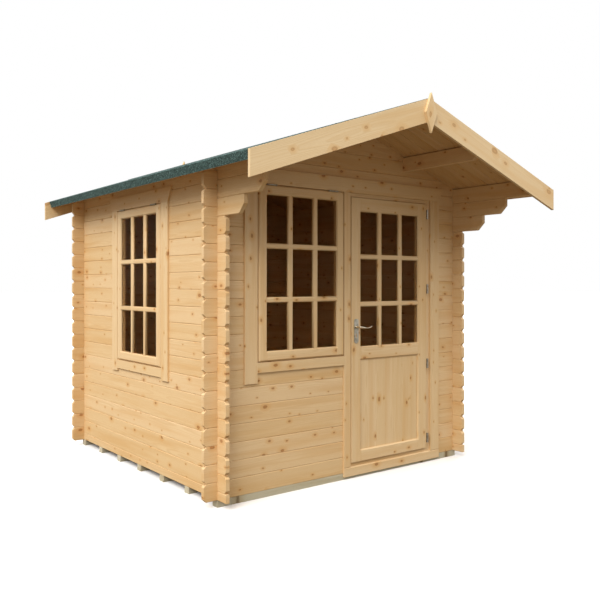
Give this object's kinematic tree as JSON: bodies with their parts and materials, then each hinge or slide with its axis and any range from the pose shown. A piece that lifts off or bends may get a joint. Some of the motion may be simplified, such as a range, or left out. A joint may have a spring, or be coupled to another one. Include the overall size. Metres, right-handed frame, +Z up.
{
  "type": "log cabin",
  "caption": "Small garden log cabin with notched log walls, a pitched felt roof over a front canopy, a glazed hinged door and small-paned windows.",
  "frame": {"origin": "middle of the footprint, on the underside of the floor bearers", "axes": "+X to the right along the front wall, +Y from the front wall to the back, +Z up"},
  "size_m": [2.742, 3.255, 2.607],
  "materials": {
    "log_spruce": "planed, untreated",
    "roof_spruce": "planed, untreated",
    "joinery_pine": "sanded, untreated",
    "fascia_spruce": "planed, untreated",
    "treated_pine": "pressure treated, green tint",
    "roofing_felt": "mineral grit, green",
    "window_glass": "clear float glass",
    "hinge_steel": "zinc plated",
    "handle_metal": "satin nickel"
  },
  "bodies": {
    "cabin": {"back_gable": "log_spruce", "back_wall": "log_spruce", "door_frame": "joinery_pine", "door_frame_hinges": "hinge_steel", "floor_bearers": "treated_pine", "floor_boards": "roof_spruce", "front_fascia_left": "fascia_spruce", "front_fascia_right": "fascia_spruce", "front_finial": "fascia_spruce", "front_gable": "log_spruce", "front_trim": "joinery_pine", "front_wall_left": "log_spruce", "front_wall_right": "log_spruce", "front_window_frame": "joinery_pine", "front_window_glass": "window_glass", "front_window_hinges": "hinge_steel", "front_window_sash": "joinery_pine", "left_eave_batten": "roof_spruce", "left_plate": "log_spruce", "left_purlin": "log_spruce", "left_roof_deck": "roof_spruce", "left_roof_felt": "roofing_felt", "left_wall_front": "log_spruce", "left_wall_lower": "log_spruce", "left_wall_rear": "log_spruce", "rear_fascia_left": "fascia_spruce", "rear_fascia_right": "fascia_spruce", "rear_finial": "fascia_spruce", "right_eave_batten": "roof_spruce", "right_plate": "log_spruce", "right_purlin": "log_spruce", "right_roof_deck": "roof_spruce", "right_roof_felt": "roofing_felt", "right_wall": "log_spruce", "side_trim": "joinery_pine", "side_window_frame": "joinery_pine", "side_window_glass": "window_glass", "side_window_hinges": "hinge_steel", "side_window_sash": "joinery_pine"},
    "door": {"door_glass": "window_glass", "door_handle_plates": "handle_metal", "door_leaf": "joinery_pine", "door_leaf_hinges": "hinge_steel", "door_panel": "joinery_pine"},
    "lever": {"door_lever": "handle_metal"}
  },
  "joints": [
    {"name": "door_swing", "type": "hinge", "parent": "cabin", "child": "door", "pos_m": [0.768, -1.144, 1.0635], "axis": [0, 0, 1], "range_deg": [0, 120]},
    {"name": "lever_turn", "type": "hinge", "parent": "door", "child": "lever", "pos_m": [0.024, -1.138, 1.084], "axis": [0, 1, 0], "range_deg": [0, 40], "stiffness_Nm_per_rad": 1, "springref_deg": -28.65}
  ]
}
